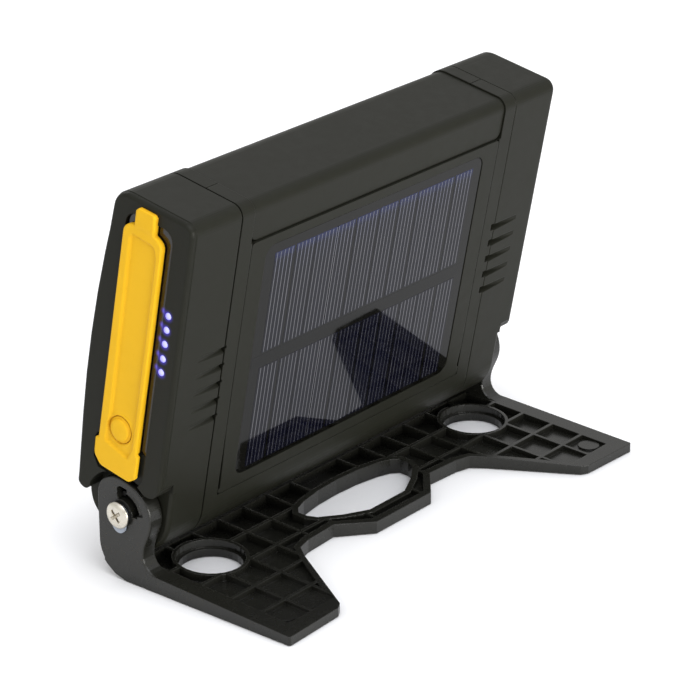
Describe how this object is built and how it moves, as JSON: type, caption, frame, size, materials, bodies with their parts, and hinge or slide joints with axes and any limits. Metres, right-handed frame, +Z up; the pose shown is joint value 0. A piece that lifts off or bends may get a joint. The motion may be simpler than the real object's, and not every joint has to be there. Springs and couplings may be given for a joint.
{
  "type": "solar phone charger",
  "caption": "Solar power bank with a lamp face, cells on the other face, rubber port cover with indicator lights, and a ribbed stand that folds flat against the solar face.",
  "frame": {"origin": "on the table plane, straight below the middle of the stand's pivot axis", "axes": "+X along the pivot axis towards the end without ports, -Y the way the solar face looks, +Z up; the stand is fully open"},
  "size_m": [0.1824, 0.0869, 0.1287],
  "materials": {
    "housing_plastic": "fine satin moulded plastic, dark olive grey",
    "stand_plastic": "satin moulded plastic, near black",
    "yellow_rubber": "soft yellow rubber with a fine matte skin",
    "gloss_black": "polished black",
    "solar_laminate": "clear laminate over dark blue cells with pale fingers",
    "lamp_lens": "clear polycarbonate with a fine prism pattern",
    "reflector_silver": "vacuum metallised tray",
    "white_board": "white solder mask",
    "green_board": "green solder mask",
    "bare_aluminium": "mill finish",
    "cell_wrap": "shrink sleeve",
    "inner_black": "black plastic",
    "socket_steel": "stamped nickel-plated steel",
    "nylon": "natural nylon",
    "screw_nickel": "nickel plate",
    "screw_dark": "black zinc",
    "led_blue": "blue-violet water-clear indicator, lit"
  },
  "bodies": {
    "stand": {"stand_frame": "stand_plastic"},
    "housing": {"battery_cell_1": "cell_wrap", "battery_cell_2": "cell_wrap", "battery_clamp": "inner_black", "bridge_bar": "housing_plastic", "cap_screw_left_lower": "screw_dark", "cap_screw_left_upper": "screw_dark", "cap_screw_right_lower": "screw_dark", "cap_screw_right_upper": "screw_dark", "flap_anchor": "yellow_rubber", "front_shell": "housing_plastic", "heat_sink": "bare_aluminium", "indicator_board": "green_board", "indicator_led_1": "led_blue", "indicator_led_2": "led_blue", "indicator_led_3": "led_blue", "indicator_led_4": "led_blue", "indicator_led_5": "led_blue", "lamp_bezel": "gloss_black", "lamp_lens": "lamp_lens", "led_board": "white_board", "left_end_cap": "housing_plastic", "main_board": "green_board", "micro_usb_socket": "socket_steel", "pivot_screw_left": "screw_nickel", "pivot_screw_right": "screw_nickel", "pivot_washer_left": "nylon", "pivot_washer_right": "nylon", "port_bezel": "gloss_black", "rear_shell": "housing_plastic", "reflector": "reflector_silver", "right_end_cap": "housing_plastic", "solar_frame": "housing_plastic", "solar_panel": "solar_laminate", "stop_pin_left": "inner_black", "stop_pin_right": "inner_black", "tact_switch": "inner_black", "usb_a_socket_1": "socket_steel", "usb_a_socket_2": "socket_steel"},
    "flap": {"port_flap": "yellow_rubber"},
    "button": {"power_button": "yellow_rubber"},
    "plunger": {"switch_plunger": "nylon"}
  },
  "joints": [
    {"name": "stand_hinge", "type": "hinge", "parent": "stand", "child": "housing", "pos_m": [0, 0, 0.0226], "axis": [1, 0, 0], "range_deg": [0, 80], "stiffness_Nm_per_rad": 0.15, "springref_deg": -24.98},
    {"name": "flap_hinge", "type": "hinge", "parent": "housing", "child": "flap", "pos_m": [-0.0893, -0.00096, 0.04664], "axis": [0, -0.9827, -0.185], "range_deg": [0, 110]},
    {"name": "button_press", "type": "slide", "parent": "flap", "child": "button", "axis": [1, 0, 0], "range_m": [0, 0.0005]},
    {"name": "plunger_press", "type": "slide", "parent": "housing", "child": "plunger", "axis": [1, 0, 0], "range_m": [0, 0.0005]}
  ],
  "couplings": [
    {"joint": "plunger_press", "follows": "button_press", "ratio": 1}
  ]
}
